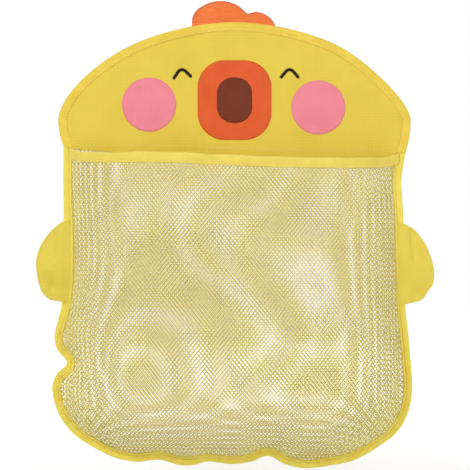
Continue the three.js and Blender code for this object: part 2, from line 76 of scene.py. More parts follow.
# Outward from the mouth's end, or across for the bottom, and part of the pocket's height
LEFT_UPPER = [[0, 0.105], [-0.2, 0.211], [0.6, 0.345], [1.6, 0.48]]
LEFT_LOWER = [[5.2, 0.47], [8.6, 0.421], [6.6, 0.378], [-2.9, 0.334], [6.6, 0.299], [10.8, 0.26],
              [8.6, 0.207], [1.6, 0.155], [-11.4, 0.105], [-29.4, 0.066]]
BOTTOM_WAVE = [[-115, 0.0345], [-94, 0.021], [-72, 0.027], [-52, 0.0105], [-38, 0.0115], [-26, 0.0205],
               [-6, 0.0125], [14, 0.018], [32, 0.0395], [50, 0.0105], [70.5, 0], [92, 0.0095], [112, 0.0225]]
RIGHT_LOWER = [[-28.6, 0.0625], [-11.9, 0.102], [-0.1, 0.155], [5.4, 0.214], [6.6, 0.26], [4.1, 0.378],
               [1.9, 0.451], [0.1, 0.5]]
RIGHT_UPPER = [[-1, 0.345], [-2, 0.211], [-4, 0.089], [-2.6, 0.049]]
BULGE_DEPTH = 85.0
BULGE_FALL = 200.0
MOUTH_SHARE = 0.5
BAND_WIDTH = 10.0
BAND_SAG = 2.2
WING_TOP = {-1: 0.218 * POCKET_HEIGHT, 1: 0.226 * POCKET_HEIGHT}
WING_LENGTH = 0.256 * POCKET_HEIGHT
WING_PROFILE = {  # reach from the hinge, and part of the wing's length
    -1: [[0, 0.01], [9.4, 0.11], [17, 0.235], [21.8, 0.36], [24, 0.506], [22.8, 0.67], [20.6, 0.79],
         [17.3, 0.89], [10.3, 0.97], [0, 0.99]],
    1: [[0, 0.01], [8.8, 0.077], [16.2, 0.2], [21.2, 0.32], [25, 0.47], [26.7, 0.59], [25.1, 0.756],
        [20.4, 0.84], [14.6, 0.942], [0, 0.99]],
}
BEAK_Z = -23.2
BEAK_BOX = (70.8, 76.5, 26)  # width, height and corner
MOUTH_BOX = (33.8, 43.5, 15.5)
CHEEK = {-1: [-81.9, -27.5], 1: [80.4, -30.3]}
CHEEK_RADIUS = 26.0
EYE = {-1: [-50.8, 6], 1: [52.9, 0]}  # across, and degrees that its left arm hangs lower
EYE_TOP = 6.1
EYE_ARM = [[2.6, 1], [5.2, 3.8], [8, 7.2]]
EYE_STROKE = 3.1
HINGE_OUT = 1.5  # seam to the wing's hinge
COMB_ENDS = [-41.0, 39.0]
BIG_LOBE = [[-40.1, 5.2], [-36.8, 10.9], [-31.7, 14.8], [-23.4, 18.6], [-13.4, 20.2], [-3.9, 18.8],
            [3.8, 15.5], [9.2, 10.9], [12.4, 7.9]]
SMALL_LOBE = [[15.4, 8.6], [20.6, 9.7], [26.9, 8.4], [30.7, 6.6], [34.6, 3.6], [36.6, 1.3]]
CUP_X = 88.0

# Sizes of the dressed cloth
CLOTH = 0.5
INK = 0.18
TAPE_WIDTH = 8.5
TAPE_LAP = 0.35  # the head's tape reaches down to the pocket's
END_TURN = 6.0  # run over which an outline's way inward turns to the mouth's, at its two ends
HEM_TUCK = 2.2  # the head's covers reach down behind the mouth band
TUCK_FROM = -128.0  # from here to the right
SEAM_WIDTH = 6.4  # flat part of the pocket's tape, outside the bulge
SEAM_STITCH = 6.6  # outline to the pocket's stitches
SEAM_PULL = 3.0  # the left seam is drawn inward beside the wing
PULL_HALF = 62.0
PULL_X = -90.0
NET_BASE = 0.9  # front net in front of the seam
NET_BILLOW, NET_RIPPLE, NET_GATHER = 1.5, 1.0, 1.3  # depths of its waves
BACK_BILLOW, BACK_RIPPLE = 1.2, 0.7
GATHER_Z = -300.0  # the gathers lie under this height
BULGE_REACH = 117.0
HEAD_PUFF, HEAD_PUCKER = 0.9, 0.28  # the covers stand out, and pucker along the tape
HEAD_BILLOW, HEAD_RIPPLE = 0.5, 0.3
PINCH, PINCH_REACH = 0.28, 20.0  # share of the head's thickness lost at the mouth's ends
LOW_Z, LOW_FALL = -228.0, 90.0  # the pocket's tape gets looser from here down
TAPE_TURN = [  # length run along the pocket's outline, and degrees that the tape's outer edge turns forward
    [0, 0], [190, 0], [214, -12], [232, 6], [300, 11], [368, 14], [383, -8], [392, 16], [412, 10], [430, -26],
    [466, -24], [482, 4], [505, -20], [535, -18], [552, 20], [566, -8], [582, 20], [602, -26], [616, -14],
    [632, 8], [690, 9], [730, 4], [770, 0], [900, 0],
]
WING_FOLDS = {  # reach from the hinge, way down from the wing's top, spread in both, height forward
    -1: [[14, 21, 8, 13, -3.2], [12, 46, 10, 8, 3.4], [3, 62, 9, 4, -3.0], [17, 64, 8, 6, 1.0]],
    1: [[5, 14, 5, 9, -2.2], [11, 30, 5, 9, -2.0], [19, 28, 6, 14, 1.6], [9, 50, 9, 12, 2.8],
        [12, 70, 12, 6, -1.8]],
}
WING_ROOT = 8.2  # cloth inside the seam
WING_STITCH = 3.4  # rim to the stitches
COMB_STITCH = 0.9
DIAMOND_WIDE = 3.85
DIAMOND_TALL = 4.85
STRAND_WIDE = 0.95
STRAND_DEEP = 0.6
STRAND_OVER = 0.16  # strands pass over and under each other
NET_HALF = 176.0
BELLY_Z = -230.0  # height at which the nets' columns are spaced


# Curves and distances

def spline(points, steps):
    """Centripetal curve through points."""
    p = np.asarray(points, float)
    ends = np.vstack([2 * p[0] - p[1], p, 2 * p[-1] - p[-2]])
    t = np.linspace(0, 1, steps, endpoint=False)[:, None]
    out = []
    for i in range(len(p) - 1):
        p0, p1, p2, p3 = ends[i:i + 4]
        d0, d1, d2 = (np.linalg.norm(b - a) ** 0.5 for a, b in ((p0, p1), (p1, p2), (p2, p3)))
        m1 = ((p1 - p0) / d0 - (p2 - p0) / (d0 + d1) + (p2 - p1) / d1) * d1
        m2 = ((p2 - p1) / d1 - (p3 - p1) / (d1 + d2) + (p3 - p2) / d2) * d1
        out.append(p1 + m1 * t + (3 * (p2 - p1) - 2 * m1 - m2) * t**2 + (2 * (p1 - p2) + m1 + m2) * t**3)
    return np.vstack(out + [p[-1:]])


def arc_length(path):
    return np.concatenate([[0], np.cumsum(np.linalg.norm(np.diff(path, axis=0), axis=1))])


def at_lengths(lengths, along, path):
    """Values of a path's columns at lengths run along it."""
    return np.stack([np.interp(lengths, along, column) for column in path.T], 1)


def resample(path, spacing):
    along = arc_length(path)
    even = np.linspace(0, along[-1], max(2, round(along[-1] / spacing) + 1))
    return at_lengths(even, along, path)


def resample_loop(loop, spacing):
    return resample(np.vstack([loop, loop[:1]]), spacing)[:-1]


def ease(value):
    t = np.clip(value, 0, 1)
    return t * t * (3 - 2 * t)


def eased(at, rows):
    """Values from rows of place and value, with a smooth step from one to the next."""
    places, values = np.array(rows, float).T
    i = np.clip(np.searchsorted(places, at) - 1, 0, len(places) - 2)
    return values[i] + np.diff(values)[i] * ease((at - places[i]) / np.diff(places)[i])


def unit(vectors):
    return vectors / np.maximum(np.linalg.norm(vectors, axis=-1, keepdims=True), 1e-9)


def heading(line):
    return unit(np.gradient(line, axis=0))


def leftward(line):
    """The way to the left of a flat line, at each of its points."""
    step = heading(line)
    return np.stack([-step[:, 1], step[:, 0]], 1)


def beside(line, distance):
    """A flat line, moved to its right."""
    return line - distance * leftward(line)


def upright(xz, y):
    """Places in space from places in x and z, and their depth."""
    return np.stack(np.broadcast_arrays(xz[..., 0], y, xz[..., 1]), -1)


def full_turn(count):
    return np.linspace(0, 2 * np.pi, count, endpoint=False)


def squares(x, z, line):
    """Squared distances from places to each point of a line, some places at a time to spare memory."""
    places = np.stack([np.ravel(x), np.ravel(z)], 1)
    for i in range(0, len(places), CHUNK):
        yield ((places[i:i + CHUNK, None] - line[None]) ** 2).sum(2)


def waver(along, period, seed):
    return np.sin(2 * np.pi * along / period + seed + 1.1 * np.sin(along / (1.7 * period) + seed))


def hem_z(x):
    """Height of the head's lower edge."""
    at, rise = MOUTH_LINE[:, 0] * MOUTH_HALF, MOUTH_LINE[:, 1]
    slope = np.diff(rise) / np.diff(at)
    lean = np.concatenate([slope[:1], (slope[1:] + slope[:-1]) / 2, slope[-1:]])
    x = np.clip(np.asarray(x, float), at[0], at[-1])
    i = np.clip(np.searchsorted(at, x) - 1, 0, len(slope) - 1)
    gap = at[i + 1] - at[i]
    t = (x - at[i]) / gap
    bend = gap * (lean[i] * t * (1 - t) ** 2 - lean[i + 1] * t * t * (1 - t))
    return MOUTH_Z + rise[i] + (rise[i + 1] - rise[i]) * ease(t) + bend


class Edge:
    """An outline in x and z, anticlockwise, with the way inward and the length run at each point.

    At its two ends the way inward runs along the mouth.
    """

    def __init__(self, points, spacing):
        self.at = resample(np.asarray(points, float), spacing)
        self.along = arc_length(self.at)
        end = np.sign(self.at[:, 0])
        drop = hem_z(end * (MOUTH_HALF - TAPE_WIDTH)) - hem_z(end * MOUTH_HALF)
        mouthward = unit(np.stack([-end * TAPE_WIDTH, drop], 1))
        from_end = np.minimum(self.along, self.along[-1] - self.along)
        keep = np.clip(from_end / END_TURN, 0, 1)[:, None]
        self.inward = unit(keep * leftward(self.at) + (1 - keep) * mouthward)

    def nearest(self, x, z):
        """Distance inward, and length run, at arrays of places."""
        found = np.concatenate([square.argmin(1) for square in squares(x, z, self.at)])
        gap = np.stack([np.ravel(x), np.ravel(z)], 1) - self.at[found]
        room = np.linalg.norm(gap, axis=1) * np.sign((gap * self.inward[found]).sum(1))
        return room.reshape(np.shape(x)), self.along[found].reshape(np.shape(x))

    def inset(self, distance):
        return self.at + self.inward * distance

    def across(self, distances):
        """Places at a row of distances inward from each point."""
        return self.at[:, None] + self.inward[:, None] * distances[..., None]


def dome_z(x):
    """Height of the dome near its middle, where the comb is."""
    return WIDE_Z + DOME_HEIGHT * (1 - (np.abs(x) / HEAD_HALF) ** DOME_POWER) ** (1 / DOME_POWER)


def head_outline():
    share = np.linspace(1, 0, 12, endpoint=False)
    out = HEAD_HALF - (HEAD_HALF - MOUTH_HALF) * share**2
    fall = [WIDE_Z - hem_z(side * MOUTH_HALF) + TAPE_LAP for _, side in SIDES]
    left, right = (np.stack([way * out, WIDE_Z - drop * share], 1) for way, drop in zip((-1, 1), fall))
    angle = np.linspace(0, np.pi, 361)
    side = np.sign(np.cos(angle))
    far = np.abs(np.cos(angle))
    slope = np.where(side < 0, SLOPE[-1], SLOPE[1]) * ease((far - SLOPE_FROM) / (1 - SLOPE_FROM))
    power = 2 / (DOME_POWER - slope)
    up = np.clip(np.sin(angle), 0, None) ** power
    dome = np.stack([HEAD_HALF * side * far**power, WIDE_Z + DOME_HEIGHT * up], 1)
    return np.vstack([right, dome, left[::-1]])


def pocket_outline():
    def run(side, rows, start, way):
        return [[side * (MOUTH_HALF + out), start + way * part * POCKET_HEIGHT] for out, part in rows]

    left_end, right_end = ([[side * MOUTH_HALF, hem_z(side * MOUTH_HALF) - SEAM_GAP]] for _, side in SIDES)
    return spline(
        left_end + run(-1, LEFT_UPPER, MOUTH_Z, -1) + run(-1, LEFT_LOWER, BOTTOM_Z, 1)
        + [[x, BOTTOM_Z + part * POCKET_HEIGHT] for x, part in BOTTOM_WAVE]
        + run(1, RIGHT_LOWER, BOTTOM_Z, 1) + run(1, RIGHT_UPPER, MOUTH_Z, -1) + right_end,
        8,
    )


head_edge = Edge(head_outline(), 1.0)
pocket_edge = Edge(pocket_outline(), 1.0)


def side_at(side, z):
    """Where the pocket's outline first reaches a height, coming down from one end of the mouth."""
    path = pocket_edge.at if side < 0 else pocket_edge.at[::-1]
    i = int(np.argmax(path[:, 1] <= z))
    a, b = path[i - 1], path[i]
    return a[0] + (z - a[1]) / (b[1] - a[1]) * (b[0] - a[0])


# Depth of the nets and of the head's covers

def seam_distance(x, z):
    """Distance to the pocket's seam with its creases rounded off."""
    up = np.arange(2.0, 90.0, 2.0)
    left, right = (np.stack([np.full_like(up, end[0]), end[1] + up], 1) for end in pocket_edge.at[[0, -1]])
    seam = np.vstack([left, pocket_edge.at[::2], right])
    found = [((2 / (s + 1e-3) ** 3).sum(1), np.sqrt(s.min(1) + 1e-3)) for s in squares(x, z, seam)]
    total, closest = map(np.concatenate, zip(*found))
    straight = 3 * math.pi / 8  # the total beside an endless straight seam, times the distance to the power 5
    smooth = (total / straight) ** -0.2
    mix = ease((closest - 3) / 6)
    return (closest + (smooth - closest) * mix).reshape(np.shape(x))


def band_top(x):
    return hem_z(x) - SEAM_GAP - BAND_SAG * (1 - (np.asarray(x, float) / MOUTH_HALF) ** 4)


def seam_pull(x, z):
    wing_z = MOUTH_Z - WING_TOP[-1] - WING_LENGTH / 2
    return SEAM_PULL * ease(1 - np.abs(z - wing_z) / PULL_HALF) * ease((PULL_X - x) / 30)


def front_y(x, z):
    """Depth of the front net's middle surface."""
    x, z = np.asarray(x, float), np.asarray(z, float)
    room = np.clip(seam_distance(x, z) - SEAM_WIDTH - seam_pull(x, z), 0, None)
    rise = 1 - (1 - np.clip(room / BULGE_REACH, 0, 1)) ** 3
    share = MOUTH_SHARE + (1 - MOUTH_SHARE) * ease((band_top(x) - BAND_WIDTH - z) / BULGE_FALL)
    swell = NET_BILLOW * np.sin(x / 31 + 0.4) * np.sin(z / 37 + 1.1)
    swell = swell + NET_RIPPLE * np.sin(x / 19 - z / 27 + 2.0)
    folds = NET_GATHER * np.sin(x / 4.4 + 0.8 * np.sin(x / 23)) * ease((GATHER_Z - z) / 40)
    ripple = swell * ease(room / 45) + folds * ease(room / 9) * np.exp(-room / 16)
    return MID_Y - NET_BASE * ease((room + SEAM_WIDTH) / 4) - BULGE_DEPTH * share * rise - ripple


def back_y(x, z):
    room = np.clip(seam_distance(x, z) - SEAM_WIDTH, 0, None)
    slack = BACK_BILLOW * np.sin(x / 37 + 0.3) * np.sin(z / 29 + 0.5) + BACK_RIPPLE * np.sin((x + z) / 21)
    return MID_Y + slack * ease(room / 40) * ease((MOUTH_Z - z) / 30)


def pinch(x, z):
    """Share of the head's thickness left near the mouth's two ends, where the pocket's tape goes on."""
    near = [np.hypot(x - side * MOUTH_HALF, z - hem_z(side * MOUTH_HALF)) for _, side in SIDES]
    return 1 - PINCH * ease(1 - np.minimum(*near) / PINCH_REACH)


def head_swell(x, z):
    """How far the head's cloth stands out from flat."""
    room, along = head_edge.nearest(x, z)
    room = np.minimum(room, z - hem_z(x))
    puff = HEAD_PUFF * (1 - np.exp(-np.clip(room, 0, None) / 14))
    pucker = HEAD_PUCKER * np.sin(along / 1.9 + 0.9 * np.sin(along / 13))
    pucker = pucker * np.exp(-np.clip(room - 7, 0, None) / 6) * ease((room - 6) / 3)
    slack = HEAD_BILLOW * np.sin(x / 23 + 0.7) * np.sin(z / 31 + 1.3)
    slack = slack + HEAD_RIPPLE * np.sin((x + 0.6 * z) / 17)
    return puff + (pucker + slack * ease(room / 20))


def head_front(x, z):
    return MID_Y - (COVER_HALF + head_swell(x, z)) * pinch(x, z)


def head_back(x, z):
    return MID_Y + (COVER_HALF + 0.7 * head_swell(x, z)) * pinch(x, z)


# Meshes

scene = bpy.context.scene


def placed(name, data, at=(0, 0, 0), turned=(0, 0, 0)):
    made = bpy.data.objects.new(name, data)
    made.location, made.rotation_euler = at, turned
    scene.collection.objects.link(made)
    return made


def grid_faces(rows, cols, wrap_rows=False, wrap_cols=False):
    r = np.arange(rows if wrap_rows else rows - 1)[:, None]
    c = np.arange(cols if wrap_cols else cols - 1)[None, :]
    here, below = r * cols, (r + 1) % rows * cols
    right = (c + 1) % cols
    return np.stack([here + c, here + right, below + right, below + c], -1).reshape(-1, 4)


def add_piece(name, points, faces, material, slot, body=None, nodes=(), cloth=None):
    mesh = bpy.data.meshes.new(name)
    mesh.from_pydata((np.asarray(points, float) * MM).tolist(), [], [list(map(int, f)) for f in faces])
    if cloth is not None:
        weave = mesh.attributes.new("cloth", "FLOAT_VECTOR", "POINT")
        weave.data.foreach_set("vector", (np.asarray(cloth, float) * MM).astype(np.float32).ravel())
    shape = bmesh.new()
    shape.from_mesh(mesh)
    bmesh.ops.recalc_face_normals(shape, faces=shape.faces)
    shape.to_mesh(mesh)
    shape.free()
    mesh.polygons.foreach_set("use_smooth", np.ones(len(mesh.polygons), bool))
    mesh.materials.append(material)
    piece = placed(name, mesh)
    if nodes:
        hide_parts(*nodes)
    if body:
        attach(piece, body)
    return piece


def swept(rings):
    """Points and faces of a skin over rings of points, closed by flat ends."""
    rows, cols = rings.shape[:2]
    ends = [list(range(cols)), list(range((rows - 1) * cols, rows * cols))]
    return rings.reshape(-1, 3), grid_faces(rows, cols, wrap_cols=True).tolist() + ends


def round_path(side, over, count):
    """Rings of unit size, from the two ways across a path."""
    turn = full_turn(count)[:, None]
    return np.cos(turn) * side[:, None] + np.sin(turn) * over[:, None]


def woven(along, across, off):
    """Places in a tape's own cloth, which its weave follows."""
    return np.stack(np.broadcast_arrays(along[:, None], across, off), -1)


def folded(front, inner):
    """A whole folded section from its front half and the inner faces of the fold."""
    return np.vstack([front, front[-2::-1] * [1, -1], inner])


def two_faced(flat, faces, rim, front, rear):
    """Points and faces of a closed sheet: front, rear and a wall along the rim."""
    count, after = len(flat), np.roll(rim, -1)
    other = [[count + i for i in face] for face in faces]
    wall = np.stack([rim, after, after + count, rim + count], 1).tolist()
    return np.vstack([upright(flat, depth(*flat.T)) for depth in (front, rear)]), faces + other + wall


def shell(outline, centre, front, rear, rings, crowd=1.0):
    """A closed sheet over a flat outline that is seen whole from its centre."""
    share = 1 - (1 - np.linspace(0, 1, rings + 1)[1:]) ** crowd
    flat = np.asarray(centre) + share[:, None, None] * (outline - np.asarray(centre))
    count = len(outline)
    fan = [[0, 1 + k, 1 + (k + 1) % count] for k in range(count)]
    faces = fan + (1 + grid_faces(rings, count, wrap_cols=True)).tolist()
    rim = 1 + (rings - 1) * count + np.arange(count)
    return two_faced(np.vstack([[centre], flat.reshape(-1, 2)]), faces, rim, front, rear)


def strip(xz, front, rear):
    """A closed sheet over a grid of places."""
    rows, cols = xz.shape[:2]
    rim = np.concatenate([
        np.arange(cols - 1), np.arange(rows - 1) * cols + cols - 1,
        np.arange(rows * cols - 1, (rows - 1) * cols, -1), np.arange((rows - 1) * cols, 0, -cols),
    ])
    return two_faced(xz.reshape(-1, 2), grid_faces(rows, cols).tolist(), rim, front, rear)


def joined(*parts):
    points, faces, count = [], [], 0
    for part_points, part_faces in parts:
        points.append(part_points)
        faces += [[count + i for i in face] for face in part_faces]
        count += len(part_points)
    return np.vstack(points), faces


def stitches(path, up, pitch=3.2, length=2.4, radius=0.3):
    """Points and faces of a row of short threads lying on a path, their ends drawn into the cloth."""
    along = arc_length(path)
    up = np.broadcast_to(np.asarray(up, float), path.shape)
    across = np.linspace(-1, 1, 7)
    threads = []
    for centre in np.arange(pitch / 2, along[-1], pitch):
        at = centre + across * length / 2
        spot, lift = at_lengths(at, along, path), unit(at_lengths(at, along, up))
        side = unit(np.cross(heading(spot), lift))
        thick = radius * np.sqrt(np.clip(1.04 - across**2, 0.04, 1))[:, None, None]
        sunk = (radius * (0.75 - 1.9 * across**4))[:, None, None] * lift[:, None]
        threads.append(swept(spot[:, None] + sunk + thick * round_path(side, lift, 6)))
    return joined(*threads)


def strands(x, y, z, keep):
    """Points and faces of two families of strands along the diagonals of a lattice."""
    place = np.stack([x, y, z], -1)
    normal = unit(np.cross(np.gradient(place, axis=1), -np.gradient(place, axis=0)))
    normal *= -np.sign(normal[..., 1:2])
    rows, cols = y.shape
    points, faces, ends, count = [], [], [], 0
    for lean in (1, -1):
        for first in range(-2 * rows, cols + 2 * rows, 2):
            j = np.arange(rows)
            i = first + lean * j
            there = (i >= 0) & (i < cols)
            i, j = i[there], j[there]
            if not len(i):
                continue
            held = keep[j, i]
            for run in np.split(np.arange(len(i)), np.flatnonzero(np.diff(held.astype(int))) + 1):
                if len(run) < 2 or not held[run[0]]:
                    continue
                spot = place[j[run], i[run]]
                out = normal[j[run], i[run]]
                side = unit(np.cross(out, np.gradient(spot, axis=0)))
                over = STRAND_OVER * lean * (1 - 2 * (j[run] % 2))
                spot = spot + out * over[:, None]
                ring = np.stack([
                    spot + 0.6 * STRAND_DEEP * out,
                    spot - 0.4 * STRAND_DEEP * out + 0.5 * STRAND_WIDE * side,
                    spot - 0.4 * STRAND_DEEP * out - 0.5 * STRAND_WIDE * side,
                ], 1)
                points.append(ring.reshape(-1, 3))
                faces.append(count + grid_faces(len(run), 3, wrap_cols=True))
                last = count + 3 * len(run) - 1
                ends += [[count, count + 1, count + 2], [last, last - 1, last - 2]]
                count = last + 1
    return np.vstack(points), np.vstack(faces).tolist() + ends


# Materials

def tone(rgb, shift=0):
    """Linear colour from a colour as seen on a screen, 0 to 255, made lighter or darker by a shift."""
    seen = np.clip(np.array(rgb) + shift, 0, 255) / 255
    linear = np.where(seen <= 0.04045, seen / 12.92, ((seen + 0.055) / 1.055) ** 2.4)
    return (*linear.tolist(), 1.0)


class Nodes:
    """A tree of nodes, with helpers for the ones used here."""

    def __init__(self, tree):
        self.tree = tree

    def node(self, kind, **settings):
        made = self.tree.nodes.new(kind)
        for key, value in settings.items():
            setattr(made, key, value)
        return made

    def put(self, socket, value):
        if isinstance(value, bpy.types.NodeSocket):
            self.tree.links.new(value, socket)
        else:
            socket.default_value = value

    def feed(self, node, **values):
        """Puts values or links into inputs by name, with _ for a space."""
        for name, value in values.items():
            self.put(node.inputs[name.replace("_", " ")], value)
        return node

    def result(self, node, *values):
        """First output of a node whose first inputs take the values."""
        for socket, value in zip(node.inputs, values):
            self.put(socket, value)
        return node.outputs[0]

    def math(self, operation, *values):
        return self.result(self.node("ShaderNodeMath", operation=operation), *values)

    def seen_directly(self):
        """1 for the rays that see the background itself, in mirrors and through clear plastic too."""
        rays = self.node("ShaderNodeLightPath").outputs
        shiny = self.math("MAXIMUM", rays["Is Glossy Ray"], rays["Is Transmission Ray"])
        return self.math("MAXIMUM", rays["Is Camera Ray"], shiny)


class Shade(Nodes):
    """A material, with helpers for the patterns used here."""

    def __init__(self, name, cloth=False, **sockets):
        self.material = bpy.data.materials.new(name)
        self.material.use_nodes = True
        super().__init__(self.material.node_tree)
        self.surface = self.feed(self.tree.nodes["Principled BSDF"], **sockets)
        if cloth:
            self.place = self.node("ShaderNodeAttribute", attribute_name="cloth").outputs["Vector"]
        else:
            self.place = self.node("ShaderNodeTexCoord").outputs["Object"]

    def ramp(self, *values):
        """Maps a value from one range to another, 0 to 1 unless given."""
        return self.result(self.node("ShaderNodeMapRange"), *values)

    def mix(self, share, a, b):
        made = self.node("ShaderNodeMix", data_type="RGBA")
        for k, value in ((0, share), (6, a), (7, b)):
            self.put(made.inputs[k], value)
        return made.outputs[2]

    def plus(self, a, b, share):
        return self.math("ADD", a, self.math("MULTIPLY", b, share))

    def tint(self, base, pattern, share, to):
        return self.mix(self.math("MULTIPLY", pattern, share), base, to)

    def noise(self, size_mm, detail=2.0, place=None):
        made = self.node("ShaderNodeTexNoise")
        place = self.place if place is None else place
        return self.feed(made, Vector=place, Scale=1 / (size_mm * MM), Detail=detail).outputs["Fac"]

    def patches(self, size_mm, low=0.0, high=1.0, detail=2.0):
        return self.ramp(self.noise(size_mm, detail), 0.3, 0.7, low, high)

    def axis(self, name):
        return self.feed(self.node("ShaderNodeSeparateXYZ"), Vector=self.place).outputs[name]

    def wave(self, value, period_mm):
        """0 to 1 and back over each period."""
        turned = self.math("SINE", self.math("MULTIPLY", value, 2 * math.pi / (period_mm * MM)))
        return self.math("MULTIPLY_ADD", turned, 0.5, 0.5)

    def grid(self, period_mm, share=0.17):
        """1 on thin lines, one to a period, across and up."""
        lines = []
        for name in "XZ":
            part = self.math("FRACT", self.math("MULTIPLY", self.axis(name), 1 / (period_mm * MM)))
            off = self.math("ABSOLUTE", self.math("SUBTRACT", part, 0.5))
            lines.append(self.ramp(off, 0.5 - share, 0.5 - 0.35 * share))
        return self.math("MAXIMUM", *lines)

    def finish(self, base, rough, height, depth_mm):
        bump = self.feed(self.node("ShaderNodeBump"), Strength=1.0, Distance=depth_mm * MM, Height=height)
        self.feed(self.surface, Base_Color=base, Roughness=rough, Normal=bump.outputs["Normal"])
        return self.material


def ripstop(name, rgb, grid_mm=2.9, grid_light=9, streak=0):
    """Coated plain weave with a grid of thicker threads, and slanted streaks where asked."""
    shade = Shade(name, Sheen_Weight=0.06, Sheen_Roughness=0.5, Specular_IOR_Level=0.2)
    grid = shade.grid(grid_mm)
    weave = shade.math("MULTIPLY", shade.wave(shade.axis("X"), 0.75), shade.wave(shade.axis("Z"), 0.75))
    base = shade.mix(shade.patches(38, detail=3), tone(rgb, -5), tone(rgb, 4))
    base = shade.tint(base, grid, 0.4, tone(rgb, grid_light))
    base = shade.tint(base, weave, 0.1, tone(rgb, -26))
    if streak:
        slant = shade.node("ShaderNodeMapping")
        shade.feed(slant, Vector=shade.place, Rotation=(0, math.radians(-16), 0), Scale=(1, 1, 7))
        brushed = shade.noise(11, 3, slant.outputs["Vector"])
        base = shade.mix(shade.ramp(brushed, 0.56, 0.7), base, tone(rgb, streak))
        base = shade.mix(shade.ramp(brushed, 0.44, 0.3), base, tone(rgb, -streak))
    return shade.finish(base, shade.patches(6, 0.5, 0.64), shade.plus(grid, weave, 0.35), 0.05)


def ribbed_tape(name, rgb, period_mm=1.05, depth_mm=0.14):
    """Woven tape: ribs across it and a paler outer fold."""
    shade = Shade(name, cloth=True, Sheen_Weight=0.08, Sheen_Roughness=0.45, Specular_IOR_Level=0.2)
    across = shade.axis("Y")
    ribs = shade.wave(shade.axis("X"), period_mm)
    base = shade.mix(shade.patches(14, detail=3), tone(rgb, -8), tone(rgb, 5))
    base = shade.tint(base, shade.math("SUBTRACT", 1.0, ribs), 0.22, tone(rgb, -38))
    base = shade.tint(base, shade.ramp(across, 0.6 * MM, 2.2 * MM, 1.0, 0.0), 0.3, tone(rgb, 18))
    height = shade.plus(ribs, shade.wave(across, 0.6), 0.4)
    return shade.finish(base, shade.patches(4, 0.52, 0.68), height, depth_mm)


def knitted(name, rgb):
    """Net yarn: fine twisted filaments."""
    shade = Shade(name, Sheen_Weight=0.1, Sheen_Roughness=0.4, Specular_IOR_Level=0.25)
    twist = shade.wave(shade.plus(shade.axis("X"), shade.axis("Z"), 1.7), 0.9)
    base = shade.mix(shade.patches(22), tone(rgb, -7), tone(rgb, 6))
    base = shade.tint(base, twist, 0.16, tone(rgb, -40))
    return shade.finish(base, shade.patches(3, 0.5, 0.66), twist, 0.08)


def printed(name, rgb):
    """Ink on the weave: the grid shows through it faintly."""
    shade = Shade(name, Specular_IOR_Level=0.12)
    grid = shade.grid(2.9)
    speck = shade.ramp(shade.noise(0.8), 0.62, 0.75)
    base = shade.mix(shade.patches(17, detail=3), tone(rgb, -4), tone(rgb, 4))
    base = shade.tint(base, grid, 0.2, tone(rgb, 12))
    base = shade.tint(base, speck, 0.1, tone(rgb, 30))
    return shade.finish(base, shade.patches(5, 0.42, 0.56), shade.plus(grid, speck, 0.5), 0.07)


def thread(name, rgb):
    shade = Shade(name, Sheen_Weight=0.2, Specular_IOR_Level=0.4)
    ply = shade.wave(shade.math("ADD", shade.axis("X"), shade.axis("Z")), 0.5)
    base = shade.tint(tone(rgb), ply, 0.4, tone(rgb, -32))
    return shade.finish(base, shade.patches(2, 0.42, 0.58), ply, 0.06)


def speckled(name, dark, light, grain, rough, bump, depth_mm, **sockets):
    """Plain stuff between two colours. Grain and bump say size and detail, rough says size and range."""
    shade = Shade(name, **sockets)
    base = shade.mix(shade.ramp(shade.noise(*grain), 0.3, 0.7), tone(dark), tone(light))
    return shade.finish(base, shade.patches(*rough), shade.noise(*bump), depth_mm)


cover = ripstop("coated_ripstop", (228, 202, 73))
flap_cloth = ripstop("flap_ripstop", (230, 208, 82), grid_light=7)
comb_cloth = ripstop("orange_weave", (240, 122, 60), grid_mm=2.0, grid_light=8, streak=11)
head_weave = ribbed_tape("binding_tape", (247, 216, 84))
# Painted light: the pocket's tape is the head's tape made paler, standing in for light on its lower run
pocket_weave_painted_light = ribbed_tape("pocket_tape", (254, 231, 102))
# Painted light: the mouth band's tape is made paler, to the tone its left end shows where light falls on it
band_weave_painted_light = ribbed_tape("mouth_band_tape_painted_light", (251, 225, 104))
webbing = ribbed_tape("loop_webbing", (236, 206, 76), period_mm=1.6, depth_mm=0.3)
net_yarn = knitted("net_yarn", (252, 236, 138))
yellow_thread = thread("yellow_thread", (252, 232, 128))
orange_thread = thread("orange_thread", (190, 88, 44))
clear_pvc = speckled(
    "clear_pvc", (226, 236, 240), (240, 245, 246), (9, 3), (3, 0.06, 0.16), (1.6, 2), 0.03,
    Transmission_Weight=0.9, IOR=1.5, Specular_IOR_Level=0.5,
)
wire_steel = speckled(
    "polished_wire", (196, 199, 203), (222, 224, 226), (0.35, 3), (5, 0.16, 0.3), (0.35, 3), 0.02,
    Metallic=1.0,
)
foam_sheet = speckled(
    "foam_sheet", (236, 233, 222), (246, 244, 236), (0.7, 2), (0.7, 0.75, 0.9), (0.7, 2), 0.15,
)
beak_ink = printed("beak_ink", (226, 95, 47))
mouth_ink = printed("mouth_ink", (115, 52, 34))
cheek_ink = printed("cheek_ink", (240, 138, 152))
eye_ink = printed("eye_ink", (38, 25, 13))


# Camera, light and floor, in metres

CAMERA_AT = (0.00048, -1.6289, -0.1526)
LENS = 127.66
WORLD_LIGHT = 0.42
AIM = (0, -0.05, -0.15)
FLOOR_Z = -0.4
FLOOR_HALF = 4

scene.view_settings.view_transform = "Standard"
camera_data = bpy.data.cameras.new("camera")
camera_data.sensor_width = 36
camera_data.lens = LENS
scene.camera = placed("camera", camera_data, CAMERA_AT, (math.pi / 2, 0, 0))

scene.world = bpy.data.worlds.new("studio")
scene.world.use_nodes = True
sky = Nodes(scene.world.node_tree)
level = sky.math("MULTIPLY_ADD", sky.seen_directly(), 1 - WORLD_LIGHT, WORLD_LIGHT)
sky.feed(sky.tree.nodes["Background"], Color=(1, 1, 1, 1), Strength=level)


